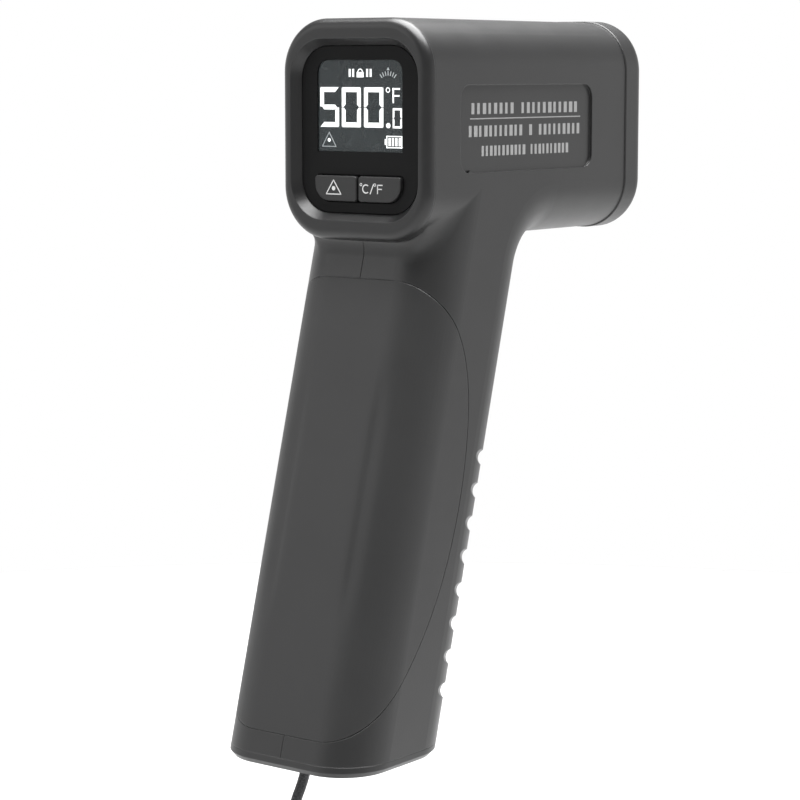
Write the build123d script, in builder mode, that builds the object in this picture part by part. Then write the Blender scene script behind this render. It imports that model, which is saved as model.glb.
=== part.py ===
"""Pistol-grip infrared thermometer: barrel with a rear display, raked handle, wrist strap.

Frame: the origin is the middle of the handle, where the hand closes round it. +Y runs
from the display to the muzzle, +Z is up and the mould seam lies in the plane X = 0.
"""
from build123d import *
import os
from math import cos, pi, radians, sin, tan

os.makedirs("parts", exist_ok=True)

# ---- barrel -------------------------------------------------------------------------
BARREL_W = 42.4          # across the flats, side to side
BARREL_H = 50.0          # top to underside
BARREL_L = 88.6          # rear rim to muzzle
EDGE_R = 12.0            # every long edge of the body
AXIS_Z = 84.0            # barrel centre above the grip centre
REAR_Y = -7.6            # rear rim of the barrel
BEZEL_RIM = 2.5          # depth of the bezel's visible side wall
NOSE_L = 8.2             # length of the nose ring
NOSE_PROUD = 0.3         # nose ring stands out from the barrel
NOSE_FACE_T = 3.0        # thickness of its front wall
WALL = 2.2               # moulded wall
FIT = 0.3                # clearance round pieces that go inside others
LIP_GAP = 0.15           # clearance round the lips that locate the end mouldings
LIP_T = 1.4
LIP_L = 2.0

# ---- handle -------------------------------------------------------------------------
RAKE = 15.43             # handle leans back by this much, degrees
GRIP_D = 36.8            # handle depth, square to its axis
CAP_SEAM_Z = -55.3       # housing ends here, bottom cap starts
BASE_Z = -57.8           # underside of the cap
THROAT_R = 11.0          # front blend between handle and barrel
THROAT_RUN = 28.0        # how far the blend block follows the barrel's underside
DOOR_T = 2.0             # skin of the battery door
DOOR_GAP = 0.15          # open joint round the battery door
RIB_COUNT = 8            # finger grooves down the front
RIB_PITCH = 7.75
RIB_TOP = 12.4           # height of the top groove along the handle
RIB_R = 2.2
RIB_DEPTH = 0.75
RIB_BITE = 0.15          # the grooves bite this much deeper at the corners
RIB_LEAVES = 30.0        # the grooves leave the corners here, degrees from the flat sides
RIB_RUNOUT = 8.0         # straight length of each groove past that point
CAP_CHAMFER = 1.2        # lower edge of the bottom cap

# ---- rear panel ---------------------------------------------------------------------
RECESS_W = 33.4
RECESS_H = 37.8
RECESS_R = 7.5
FLOOR_Y = 2.3            # recessed panel, ahead of the rim
FLOOR_T = 1.3
PANEL_GAP = 0.15         # open line round the recessed panel
RIM_ROUND = 2.4          # rounding of the bezel's outer edge
SLOPE_IN = 1.6           # width of the bezel's sloping inner side
LEDGE = 0.8              # ledge in the bezel behind the recessed panel
LEDGE_T = 0.9
WINDOW_W = 24.4
WINDOW_H = 20.7
WINDOW_Z = 5.35          # window centre above the barrel axis
WINDOW_T = 0.25
WINDOW_R = 2.9           # top corners of the window
BUTTON_FACE = 1.4        # button faces, ahead of the rim
BUTTON_W = 12.1
BUTTON_H = 5.8
BUTTON_X = 6.3           # button centres each side of the seam plane
BUTTON_Z = -13.3
BUTTON_R = 0.8
BUTTON_SWEEP = 4.0       # large outer corner of each button
BUTTON_GAP = 0.25
BUTTON_TRAVEL = 0.5
FLANGE_T = 0.8
BOARD_Y = 8.4            # rear face of the main board, ahead of the rim
BOARD_T = 1.6
POST_R = 1.3
LCD_W = 26.4
LCD_H = 22.3
LCD_T = 2.6

# ---- side label recess --------------------------------------------------------------
LABEL_Y0 = 12.1
LABEL_Y1 = 65.7
LABEL_Z0 = -9.7
LABEL_Z1 = 10.1
LABEL_R = 3.3
LABEL_DEPTH = 0.6

# ---- optics -------------------------------------------------------------------------
LENS_Z = -3.5            # infrared lens centre, from the barrel axis
LENS_R = 8.0
LENS_T = 2.0
TUBE_R = 9.6
TUBE_L = 34.0
LASER_Z = 14.5
LASER_R = 3.0
LASER_L = 12.0

# ---- trigger ------------------------------------------------------------------------
TRIGGER_W = 13.0
PIVOT_Y = 29.0
PIVOT_Z = 53.5
PIVOT_R = 1.25
PIN_HALF = 16.0          # half length of the pivot pin
HUB_R = 3.0
HUB_START = 11.5         # moulded hubs for the pin start this far from the seam plane
SLOT_SIDE = 0.4          # clearance each side of the trigger
SLOT_LOW = 26.2
SLOT_HIGH = 57.2
SWITCH_Z = 36.0
SWITCH_TIP = 22.2        # plunger tip, just short of the pulled trigger

# ---- batteries ----------------------------------------------------------------------
AAA_R = 5.25
AAA_L = 43.3             # can, without its button
AAA_NUB_R = 1.9
AAA_NUB = 0.8
AAA_X = 5.6
AAA_Y = -5.2             # cell axis, from the handle axis towards the front
BAY_L = 48.8             # length of the battery bay
BAY_Z = -25.6            # middle of the bay along the handle
PLATE_T = 0.4            # contact plates
SPRING_R = 2.6
SPRING_WIRE = 0.35

# ---- strap --------------------------------------------------------------------------
CORD_R = 1.25
HOLE_Y = -24.2           # strap hole in the cap
COLLAR_R = 3.2           # raised seat round the hole, inside the cap
MOUTH_L = 2.4            # depth of the flare at its mouth
KNOT_Z = -52.8           # underside of the strap's end stop
KNOT_R = 2.8
KNOT_L = 4.0
FERRULE_Y = -31.4
FERRULE_TOP = -84.6
FERRULE_L = 8.0
STRAND_Y = 1.45          # half of the spacing of the two strands in the ferrule

# ---- fixings ------------------------------------------------------------------------
SCREW_R = 1.25
SCREW_TIP = 9.0
SCREW_HEAD_R = 2.4
SCREW_HEAD_T = 1.5
SCREW_SEAT = -17.2       # underside of the heads, from the seam plane
BOSS_R = 3.6
SEAM = 0.05              # half of the open joint between the two mouldings
SADDLE_T = 2.0           # bulkheads that carry the lens tube
SNUG = 0.02              # clearance of pressed and threaded pieces

grip = Plane(
    origin=(0, 0, 0),
    x_dir=(1, 0, 0),
    z_dir=(0, sin(radians(RAKE)), cos(radians(RAKE))),
)
grip_side = Plane(origin=(0, 0, 0), x_dir=grip.y_dir, z_dir=(1, 0, 0))
half_w = BARREL_W / 2
half_d = GRIP_D / 2
under_z = AXIS_Z - BARREL_H / 2
seam_y = REAR_Y + BEZEL_RIM
nose_seam = BARREL_L - NOSE_L
slope = tan(radians(RAKE))
half_run = half_d / cos(radians(RAKE))      # half depth on a level cut

lens_z = AXIS_Z + LENS_Z
laser_z = AXIS_Z + LASER_Z
window_z = AXIS_Z + WINDOW_Z
panel_back = FLOOR_Y + FLOOR_T
ledge_back = panel_back + LEDGE_T
screw_spots = [(20.0, 102.0), (58.0, 102.0), (52.0, 66.5), (16.0, 62.0), (-6.4, -46.5)]


def across(depth):
    """Plane square to the barrel, this far ahead of the rear rim; its y axis is up."""
    return Plane.XZ.offset(-(REAR_Y + depth))


def save(part, name):
    part.label = name
    export_step(part, f"parts/{name}.step")


def barrel_block(inset, start, end):
    """Rounded bar along the barrel between two depths, shrunk by the inset."""
    with BuildPart() as block:
        with BuildSketch(across(start)):
            with Locations((0, AXIS_Z)):
                RectangleRounded(BARREL_W - 2 * inset, BARREL_H - 2 * inset, EDGE_R - inset)
        extrude(amount=-(end - start))
    return block.part


def handle_block(inset, bottom):
    """Raked handle with its front blend into the barrel, cut level at the bottom."""
    run = half_run - inset / cos(radians(RAKE))
    roof = AXIS_Z - EDGE_R
    foot = under_z + inset
    ahead = run + slope * foot + THROAT_RUN
    with BuildPart() as block:
        with BuildSketch(Plane.YZ) as outline:
            with BuildLine():
                Polyline(
                    (slope * bottom - run, bottom),
                    (slope * roof - run, roof),
                    (ahead, roof),
                    (ahead, foot),
                    (slope * foot + run, foot),
                    (slope * bottom + run, bottom),
                    close=True,
                )
            make_face()
            throat = outline.vertices().sort_by_distance((slope * foot + run, foot))[0]
            fillet(throat, THROAT_R + inset)
        extrude(amount=half_w - inset, both=True)
        sides = block.edges().filter_by(lambda e: abs(abs(e.center().X) - half_w + inset) < 0.001)
        level = sides.filter_by(lambda e: abs(e.tangent_at(0.5).Z) < 0.001 and e.center().Z != foot)
        nose_end = sides.filter_by(lambda e: e.center().Y > ahead - 0.001)
        fillet(sides - level - nose_end, EDGE_R - inset)
    return block.part


def finger_groove(level):
    """Groove round the front of the handle that runs out before the flat sides."""
    away = RIB_R - RIB_DEPTH
    turn = radians(RIB_LEAVES)
    bend = EDGE_R + away
    front = half_d + away
    leave_x = half_w - EDGE_R - RIB_BITE + bend * cos(turn)
    leave_y = half_d - EDGE_R + bend * sin(turn)
    corner_x = leave_x - (front - leave_y) * tan(turn)
    end_x = leave_x + RIB_RUNOUT * sin(turn)
    end_y = leave_y - RIB_RUNOUT * cos(turn)
    with BuildPart() as groove:
        with BuildLine(grip.offset(level)) as path:
            FilletPolyline(
                (-end_x, end_y), (-corner_x, front), (corner_x, front), (end_x, end_y), radius=bend
            )
        line = path.wires()[0]
        with BuildSketch(Plane(origin=line @ 0, z_dir=line % 0)):
            Circle(RIB_R)
        sweep()
    return groove.part


def door_region(gap):
    """Everything behind the curved joint of the battery door, as a block through the handle."""
    with BuildPart() as region:
        with BuildSketch(grip_side):
            with BuildLine():
                Spline(
                    (-half_d, 47.4 - gap),
                    (-10.6 - gap, 42.0 - gap),
                    (-4.2 - gap, 35.8 - gap),
                    (3.4 - gap, 15.0),
                    (4.4 - gap, 0.0),
                    (0.9 - gap, -24.6),
                    (-7.0 - gap, -42.7 + gap),
                    (-13.7 - gap, -52.4 + gap),
                    (-half_d, -57.3 + gap),
                )
                Polyline(
                    (-half_d, -57.3 + gap),
                    (-half_d - 8, -57.3 + gap),
                    (-half_d - 8, 47.4 - gap),
                    (-half_d, 47.4 - gap),
                )
            make_face()
        extrude(amount=half_w + 5, both=True)
    return region.part


def button_outline(grow, side):
    """Key outline whose lower outside corner is swept round."""
    with BuildSketch(Plane.XY) as outline:
        Rectangle(BUTTON_W + 2 * grow, BUTTON_H + 2 * grow)
        swept = outline.vertices().sort_by_distance((side * BUTTON_W, -BUTTON_H))[0]
        fillet(outline.vertices() - [swept], BUTTON_R)
        swept = outline.vertices().sort_by_distance((side * BUTTON_W, -BUTTON_H))[0]
        fillet(swept, BUTTON_SWEEP)
    return outline.sketch


def cross_pin(radius, x0, x1, y, z):
    """Round bar across the body between two x positions."""
    with BuildPart() as bar:
        with BuildSketch(Plane.YZ.offset(x0)):
            with Locations((y, z)):
                Circle(radius)
        extrude(amount=x1 - x0)
    return bar.part


def long_pin(radius, start, end, x, z):
    """Round bar along the barrel between two depths."""
    with BuildPart() as bar:
        with BuildSketch(across(start)):
            with Locations((x, z)):
                Circle(radius)
        extrude(amount=-(end - start))
    return bar.part


def coil(radius, wire, pitch, height):
    """Open helical spring standing on its own origin."""
    with BuildPart() as spring:
        with BuildLine() as path:
            Helix(pitch=pitch, height=height, radius=radius)
        with BuildSketch(Plane(origin=path.line @ 0, z_dir=path.line % 0)):
            Circle(wire)
        sweep()
    return spring.part


# ---- housing ------------------------------------------------------------------------
with BuildPart() as skin:
    add(barrel_block(0, BEZEL_RIM, nose_seam))
    add(handle_block(0, CAP_SEAM_Z))

with BuildPart() as hollow:
    add(barrel_block(WALL, 0, BARREL_L))
    add(handle_block(WALL, CAP_SEAM_Z - 5))

with BuildPart() as furniture:
    # screw bosses and the two hubs of the trigger pin run from wall to wall
    for spot in screw_spots:
        add(cross_pin(BOSS_R, -half_w, half_w, spot[0], spot[1]))
    add(cross_pin(HUB_R, HUB_START, half_w, PIVOT_Y, PIVOT_Z))
    add(cross_pin(HUB_R, -half_w, -HUB_START, PIVOT_Y, PIVOT_Z))
    # two bulkheads under the lens tube
    for depth in (56.0, 74.0):
        with BuildSketch(across(depth)):
            with Locations((0, (under_z + lens_z) / 2)):
                Rectangle(BARREL_W, lens_z - under_z)
        extrude(amount=-SADDLE_T)
    add(long_pin(TUBE_R + SNUG, 0, BARREL_L, 0, lens_z), mode=Mode.SUBTRACT)
    add(skin.part, mode=Mode.INTERSECT)

with BuildPart() as housing:
    add(skin.part)
    add(hollow.part, mode=Mode.SUBTRACT)
    add(furniture.part)
    for step in range(RIB_COUNT):
        add(finger_groove(RIB_TOP - step * RIB_PITCH), mode=Mode.SUBTRACT)
    # shallow label recess on both sides of the barrel
    for side in (-1, 1):
        with BuildSketch(Plane.YZ.offset(side * half_w)):
            with Locations((REAR_Y + (LABEL_Y0 + LABEL_Y1) / 2, AXIS_Z + (LABEL_Z0 + LABEL_Z1) / 2)):
                RectangleRounded(LABEL_Y1 - LABEL_Y0, LABEL_Z1 - LABEL_Z0, LABEL_R)
        extrude(amount=-side * LABEL_DEPTH, mode=Mode.SUBTRACT)
    add(door_region(0), mode=Mode.SUBTRACT)
    # trigger slot through the front wall
    with BuildSketch(Plane.XY.offset(SLOT_LOW)):
        with Locations((0, 34)):
            Rectangle(TRIGGER_W + 2 * SLOT_SIDE, 26)
    extrude(amount=SLOT_HIGH - SLOT_LOW, mode=Mode.SUBTRACT)
    # screw holes and sunk heads, driven from the left side
    for spot in screw_spots:
        add(cross_pin(SCREW_R + SNUG, SCREW_SEAT, SCREW_TIP + 0.5, spot[0], spot[1]), mode=Mode.SUBTRACT)
        add(cross_pin(SCREW_HEAD_R + FIT, -half_w - 1, SCREW_SEAT, spot[0], spot[1]), mode=Mode.SUBTRACT)
    add(cross_pin(PIVOT_R + SNUG, -PIN_HALF - FIT, PIN_HALF + FIT, PIVOT_Y, PIVOT_Z), mode=Mode.SUBTRACT)

with BuildPart() as left_housing:
    add(housing.part)
    split(bisect_by=Plane.YZ.offset(-SEAM), keep=Keep.BOTTOM)
save(left_housing.part, "left_housing")

with BuildPart() as right_housing:
    add(housing.part)
    split(bisect_by=Plane.YZ.offset(SEAM), keep=Keep.TOP)
save(right_housing.part, "right_housing")

with BuildPart() as housing_screws:
    for spot in screw_spots:
        add(cross_pin(SCREW_R, SCREW_SEAT - SCREW_HEAD_T, SCREW_TIP, spot[0], spot[1]))
        add(cross_pin(SCREW_HEAD_R, SCREW_SEAT - SCREW_HEAD_T, SCREW_SEAT, spot[0], spot[1]))
        # cross slots in the head
        for turn in (0, 90):
            with BuildSketch(Plane.YZ.offset(SCREW_SEAT - SCREW_HEAD_T)):
                with Locations(Location(spot, turn)):
                    Rectangle(SCREW_HEAD_R * 1.2, 0.5)
            extrude(amount=0.9, mode=Mode.SUBTRACT)
save(housing_screws.part, "housing_screws")

with BuildPart() as battery_door:
    add(skin.part)
    add(door_region(DOOR_GAP), mode=Mode.INTERSECT)
    add(handle_block(DOOR_T, CAP_SEAM_Z - 5), mode=Mode.SUBTRACT)
save(battery_door.part, "battery_door")

with BuildPart() as cap_lip:
    add(handle_block(WALL + LIP_GAP, CAP_SEAM_Z))
    split(bisect_by=Plane.XY.offset(CAP_SEAM_Z + LIP_L), keep=Keep.BOTTOM)
    add(handle_block(WALL + LIP_GAP + LIP_T, CAP_SEAM_Z - 1), mode=Mode.SUBTRACT)

with BuildPart() as bottom_cap:
    add(handle_block(0, BASE_Z))
    split(bisect_by=Plane.XY.offset(CAP_SEAM_Z), keep=Keep.BOTTOM)
    chamfer(bottom_cap.faces().sort_by(Axis.Z)[0].edges(), CAP_CHAMFER)
    add(cap_lip.part)
    # raised seat for the strap's end stop, and the strap hole
    with BuildSketch(Plane.XY.offset(CAP_SEAM_Z)):
        with Locations((0, HOLE_Y)):
            Circle(COLLAR_R)
    extrude(amount=KNOT_Z - CAP_SEAM_Z)
    with BuildSketch(Plane.XY.offset(BASE_Z)):
        with Locations((0, HOLE_Y)):
            Circle(CORD_R + 0.05)
    extrude(amount=KNOT_Z - BASE_Z, mode=Mode.SUBTRACT)
    # the mouth of the hole is flared so the cord can bend
    with Locations((0, HOLE_Y, BASE_Z + MOUTH_L / 2)):
        Cone(CORD_R + 1.0, CORD_R + 0.05, MOUTH_L, mode=Mode.SUBTRACT)
save(bottom_cap.part, "bottom_cap")

# ---- rear bezel, window and keys ----------------------------------------------------
with BuildPart() as rear_bezel:
    add(barrel_block(0, 0, BEZEL_RIM))
    fillet(rear_bezel.faces().sort_by(Axis.Y)[0].edges(), RIM_ROUND)
    add(barrel_block(WALL + LIP_GAP, BEZEL_RIM, BEZEL_RIM + LIP_L))
    # sloping inner side of the rim down to the recessed panel
    with BuildSketch(across(0)):
        with Locations((0, AXIS_Z)):
            RectangleRounded(RECESS_W + 2 * SLOPE_IN, RECESS_H + 2 * SLOPE_IN, RECESS_R + SLOPE_IN)
    with BuildSketch(across(FLOOR_Y)):
        with Locations((0, AXIS_Z)):
            RectangleRounded(RECESS_W, RECESS_H, RECESS_R)
    loft(mode=Mode.SUBTRACT)
    # seat of the recessed panel, and the opening inside its ledge
    with BuildSketch(across(FLOOR_Y)):
        with Locations((0, AXIS_Z)):
            RectangleRounded(RECESS_W, RECESS_H, RECESS_R)
    extrude(amount=-FLOOR_T, mode=Mode.SUBTRACT)
    with BuildSketch(across(panel_back)):
        with Locations((0, AXIS_Z)):
            RectangleRounded(RECESS_W - 2 * LEDGE, RECESS_H - 2 * LEDGE, RECESS_R - LEDGE)
    extrude(amount=-LEDGE_T, mode=Mode.SUBTRACT)
    # hollow back
    add(barrel_block(WALL + LIP_GAP + LIP_T, ledge_back, BEZEL_RIM + LIP_L + 1), mode=Mode.SUBTRACT)
    # posts for the main board
    for x, z in ((9.0, 20.0), (15.0, -17.5)):
        for side in (-1, 1):
            add(long_pin(POST_R, panel_back, BOARD_Y, side * x, AXIS_Z + z))
save(rear_bezel.part, "rear_bezel")

with BuildPart() as face_panel:
    with BuildSketch(across(FLOOR_Y)):
        with Locations((0, AXIS_Z)):
            RectangleRounded(RECESS_W - 2 * PANEL_GAP, RECESS_H - 2 * PANEL_GAP, RECESS_R - PANEL_GAP)
    extrude(amount=-FLOOR_T)
    # window and key openings
    with BuildSketch(across(0)) as cutouts:
        with Locations((0, window_z)):
            Rectangle(WINDOW_W, WINDOW_H)
        fillet(cutouts.vertices().group_by(Axis.Y)[-1], WINDOW_R)
        with Locations((0, AXIS_Z + BUTTON_Z)):
            Rectangle(2 * BUTTON_X, BUTTON_H + 2 * BUTTON_GAP)
        for side in (-1, 1):
            with Locations((side * BUTTON_X, AXIS_Z + BUTTON_Z)):
                add(offset(button_outline(0, side), BUTTON_GAP, mode=Mode.PRIVATE))
    extrude(amount=-(panel_back + 1), mode=Mode.SUBTRACT)
save(face_panel.part, "face_panel")

with BuildPart() as display_window:
    with BuildSketch(across(FLOOR_Y + 0.05)) as pane:
        with Locations((0, window_z)):
            Rectangle(WINDOW_W - 0.1, WINDOW_H - 0.1)
        fillet(pane.vertices().group_by(Axis.Y)[-1], WINDOW_R - 0.05)
    extrude(amount=-WINDOW_T)
save(display_window.part, "display_window")

with BuildPart() as lcd_module:
    with BuildSketch(across(panel_back + 0.1)):
        with Locations((0, window_z)):
            Rectangle(LCD_W, LCD_H)
    extrude(amount=-LCD_T)
    # front glass, which stands in the window opening close behind the pane
    with BuildSketch(across(FLOOR_Y + WINDOW_T + 0.1)) as front_glass:
        with Locations((0, window_z)):
            Rectangle(WINDOW_W - 0.2, WINDOW_H - 0.2)
        fillet(front_glass.vertices().group_by(Axis.Y)[-1], WINDOW_R - 0.1)
    extrude(amount=-(panel_back - FLOOR_Y - WINDOW_T))
save(lcd_module.part, "lcd_module")

with BuildPart() as lcd_frame:
    with BuildSketch(across(ledge_back + 0.1)):
        with Locations((0, window_z)):
            Rectangle(LCD_W + 1.6, LCD_H + 1.6)
            Rectangle(LCD_W + 0.1, LCD_H + 0.1, mode=Mode.SUBTRACT)
    extrude(amount=-(BOARD_Y - ledge_back - 0.1))
save(lcd_frame.part, "lcd_frame")

for side, name in ((-1, "laser_button"), (1, "unit_button")):
    with BuildPart() as key:
        with BuildSketch(across(BUTTON_FACE)):
            with Locations((side * BUTTON_X, AXIS_Z + BUTTON_Z)):
                add(button_outline(0, side))
        extrude(amount=-(panel_back + 0.3 - BUTTON_FACE))
        fillet(key.faces().sort_by(Axis.Y)[0].edges(), 0.35)
        with BuildSketch(across(panel_back + 0.3)):
            with Locations((side * (BUTTON_X + 0.35), AXIS_Z + BUTTON_Z)):
                RectangleRounded(BUTTON_W + 0.6, BUTTON_H + 1.2, 1.0)
        extrude(amount=-FLANGE_T)
    save(key.part, name)

with BuildPart() as button_switches:
    for side in (-1, 1):
        with BuildSketch(across(BOARD_Y - 2.6)):
            with Locations((side * BUTTON_X, AXIS_Z + BUTTON_Z)):
                Rectangle(6.0, 4.2)
        extrude(amount=-2.6)
        add(long_pin(1.1, BOARD_Y - 3.1, BOARD_Y - 2.6, side * BUTTON_X, AXIS_Z + BUTTON_Z))
save(button_switches.part, "button_switches")

with BuildPart() as main_board:
    with BuildSketch(across(BOARD_Y)):
        with Locations((0, AXIS_Z)):
            RectangleRounded(36.5, 44.0, 9.0)
    extrude(amount=-BOARD_T)
save(main_board.part, "main_board")

with BuildPart() as controller_chip:
    with BuildSketch(across(BOARD_Y + BOARD_T)):
        with Locations((-6, AXIS_Z + 6)):
            Rectangle(9.0, 9.0)
    extrude(amount=-1.4)
    chamfer(controller_chip.faces().sort_by(Axis.Y)[-1].edges(), 0.3)
save(controller_chip.part, "controller_chip")

with BuildPart() as buzzer:
    add(long_pin(4.6, BOARD_Y + BOARD_T, BOARD_Y + BOARD_T + 3.4, 8.0, AXIS_Z - 12))
    add(long_pin(0.9, BOARD_Y + BOARD_T + 2.4, BOARD_Y + BOARD_T + 3.4, 8.0, AXIS_Z - 12), mode=Mode.SUBTRACT)
save(buzzer.part, "buzzer")

# ---- nose and optics ----------------------------------------------------------------
with BuildPart() as nose_ring:
    add(barrel_block(-NOSE_PROUD, nose_seam, BARREL_L))
    fillet(nose_ring.faces().sort_by(Axis.Y)[-1].edges(), 3.2)
    chamfer(nose_ring.faces().sort_by(Axis.Y)[0].edges(), 0.25)
    lip_start = nose_seam - 2 * LIP_L
    add(barrel_block(WALL + LIP_GAP, lip_start, nose_seam))
    add(barrel_block(WALL + LIP_GAP + LIP_T, lip_start, BARREL_L - NOSE_FACE_T), mode=Mode.SUBTRACT)
    # flared mouth in front of the lens, and the laser port above it
    with BuildSketch(across(BARREL_L)):
        with Locations((0, lens_z)):
            Circle(11.0)
    with BuildSketch(across(BARREL_L - NOSE_FACE_T)):
        with Locations((0, lens_z)):
            Circle(LENS_R - 0.4)
    loft(mode=Mode.SUBTRACT)
    add(long_pin(2.6, BARREL_L - NOSE_FACE_T, BARREL_L, 0, laser_z), mode=Mode.SUBTRACT)
    add(long_pin(3.6, BARREL_L - 0.8, BARREL_L, 0, laser_z), mode=Mode.SUBTRACT)
save(nose_ring.part, "nose_ring")

with BuildPart() as laser_lens:
    add(long_pin(2.6 - SNUG, BARREL_L - 2.6, BARREL_L - 1.4, 0, laser_z))
save(laser_lens.part, "laser_lens")

tube_end = BARREL_L - 3.2
with BuildPart() as lens_tube:
    add(long_pin(TUBE_R, tube_end - TUBE_L, tube_end, 0, lens_z))
    # web that carries the laser above the tube
    with BuildSketch(across(tube_end - 10)):
        with Locations((0, (lens_z + laser_z) / 2)):
            Rectangle(9.0, laser_z - lens_z)
    extrude(amount=-7)
    add(long_pin(LASER_R + 1.5, tube_end - 10, tube_end - 3, 0, laser_z))
    add(long_pin(LENS_R - 0.8, tube_end - TUBE_L + 3, tube_end, 0, lens_z), mode=Mode.SUBTRACT)
    add(long_pin(LENS_R, tube_end - LENS_T - 0.2, tube_end, 0, lens_z), mode=Mode.SUBTRACT)
    add(long_pin(4.6 + SNUG, tube_end - TUBE_L, tube_end - TUBE_L + 3, 0, lens_z), mode=Mode.SUBTRACT)
    add(long_pin(LASER_R + SNUG, tube_end - 10, tube_end - 3, 0, laser_z), mode=Mode.SUBTRACT)
save(lens_tube.part, "lens_tube")

with BuildPart() as ir_lens:
    add(long_pin(LENS_R - SNUG, tube_end - LENS_T - 0.2, tube_end - 0.2, 0, lens_z))
save(ir_lens.part, "ir_lens")

with BuildPart() as laser_module:
    add(long_pin(LASER_R, tube_end - 14, tube_end - 2, 0, laser_z))
    add(long_pin(1.2, tube_end - 4, tube_end - 2, 0, laser_z), mode=Mode.SUBTRACT)
save(laser_module.part, "laser_module")

with BuildPart() as thermopile:
    add(long_pin(4.6, tube_end - TUBE_L - 1.2, tube_end - TUBE_L + 2.8, 0, lens_z))
    add(long_pin(5.4, tube_end - TUBE_L - 1.2, tube_end - TUBE_L - 0.2, 0, lens_z))
    add(long_pin(1.6, tube_end - TUBE_L + 2.3, tube_end - TUBE_L + 2.8, 0, lens_z), mode=Mode.SUBTRACT)
save(thermopile.part, "thermopile")

with BuildPart() as sensor_board:
    with BuildSketch(across(tube_end - TUBE_L - 2.8)):
        with Locations((0, lens_z)):
            RectangleRounded(20.0, 20.0, 1.0)
    extrude(amount=-1.6)
save(sensor_board.part, "sensor_board")

# ---- trigger ------------------------------------------------------------------------
with BuildPart() as trigger:
    with BuildSketch(Plane.YZ) as outline:
        with BuildLine():
            Spline((40.5, 56.4), (35.0, 43.0), (36.0, 29.8), tangents=[(-0.5, -1.0), (0.35, -1.0)])
            Polyline((36.0, 29.8), (34.6, 27.2), (24.0, 27.2), (25.6, 56.4), (40.5, 56.4))
        make_face()
    extrude(amount=TRIGGER_W / 2, both=True)
    fillet(trigger.edges().filter_by(lambda e: e.center().Y > 33.0 and abs(e.center().X) > 1.0), 1.3)
    add(cross_pin(PIVOT_R + 0.05, -TRIGGER_W, TRIGGER_W, PIVOT_Y, PIVOT_Z), mode=Mode.SUBTRACT)
save(trigger.part, "trigger")

with BuildPart() as trigger_pin:
    add(cross_pin(PIVOT_R, -PIN_HALF, PIN_HALF, PIVOT_Y, PIVOT_Z))
save(trigger_pin.part, "trigger_pin")

with BuildPart() as trigger_spring:
    with Locations(Plane(origin=(7.4, PIVOT_Y, PIVOT_Z), x_dir=(0, 0, -1), z_dir=(1, 0, 0)).location):
        add(coil(1.9, 0.3, 0.85, 3.4))
save(trigger_spring.part, "trigger_spring")

with BuildPart() as trigger_switch:
    with BuildSketch(Plane.XZ.offset(-(SWITCH_TIP - 4.0))):
        with Locations((0, SWITCH_Z)):
            Rectangle(6.0, 6.0)
    extrude(amount=-3.5)
    with BuildSketch(Plane.XZ.offset(-(SWITCH_TIP - 0.5))):
        with Locations((0, SWITCH_Z)):
            Circle(1.7)
    extrude(amount=-0.5)
save(trigger_switch.part, "trigger_switch")

with BuildPart() as trigger_board:
    with BuildSketch(Plane.XZ.offset(-(SWITCH_TIP - 5.2))):
        with Locations((0, SWITCH_Z)):
            RectangleRounded(16.0, 18.0, 1.0)
    extrude(amount=-1.2)
save(trigger_board.part, "trigger_board")

# ---- batteries ----------------------------------------------------------------------
bay_low = BAY_Z - BAY_L / 2
bay_high = BAY_Z + BAY_L / 2
with BuildPart() as battery_tray:
    with BuildSketch(grip.offset(bay_low - 2)):
        with Locations((0, -3.6)):
            RectangleRounded(26.0, 11.6, 1.0)
    extrude(amount=BAY_L + 4)
    with BuildSketch(grip.offset(bay_low)):
        for side in (-1, 1):
            with Locations((side * AAA_X, AAA_Y)):
                Circle(AAA_R + 0.15)
            with Locations((side * AAA_X, AAA_Y - 4.0)):
                Rectangle(2 * AAA_R + 0.3, 8.0)
    extrude(amount=BAY_L, mode=Mode.SUBTRACT)
save(battery_tray.part, "battery_tray")

plate_gap = PLATE_T + 0.05 + AAA_NUB
can_low = {-1: bay_high - plate_gap - AAA_L, 1: bay_low + plate_gap}
for side, name in ((-1, "battery_up"), (1, "battery_down")):
    with BuildPart() as cell:
        with BuildSketch(grip.offset(can_low[side])):
            with Locations((side * AAA_X, AAA_Y)):
                Circle(AAA_R)
        extrude(amount=AAA_L)
        fillet(cell.edges(), 0.4)
        with BuildSketch(grip.offset(can_low[side] + (AAA_L if side < 0 else -AAA_NUB))):
            with Locations((side * AAA_X, AAA_Y)):
                Circle(AAA_NUB_R)
        extrude(amount=AAA_NUB)
    save(cell.part, name)

with BuildPart() as contact_plates:
    for level in (bay_low, bay_high - PLATE_T):
        for side in (-1, 1):
            with BuildSketch(grip.offset(level)):
                with Locations((side * AAA_X, AAA_Y)):
                    Rectangle(7.6, 7.6)
            extrude(amount=PLATE_T)
save(contact_plates.part, "contact_plates")

spring_l = BAY_L - 2 * PLATE_T - AAA_L - AAA_NUB - 2 * SPRING_WIRE - 0.2
with BuildPart() as battery_springs:
    upper_foot = bay_high - PLATE_T - spring_l - 2 * SPRING_WIRE - 0.1
    for side, foot_z in ((-1, bay_low + PLATE_T), (1, upper_foot)):
        spring_foot = grip.offset(foot_z + SPRING_WIRE + 0.05).location
        with Locations(spring_foot * Location((side * AAA_X, AAA_Y, 0))):
            add(coil(SPRING_R, SPRING_WIRE, spring_l / 3, spring_l))
save(battery_springs.part, "battery_springs")

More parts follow.
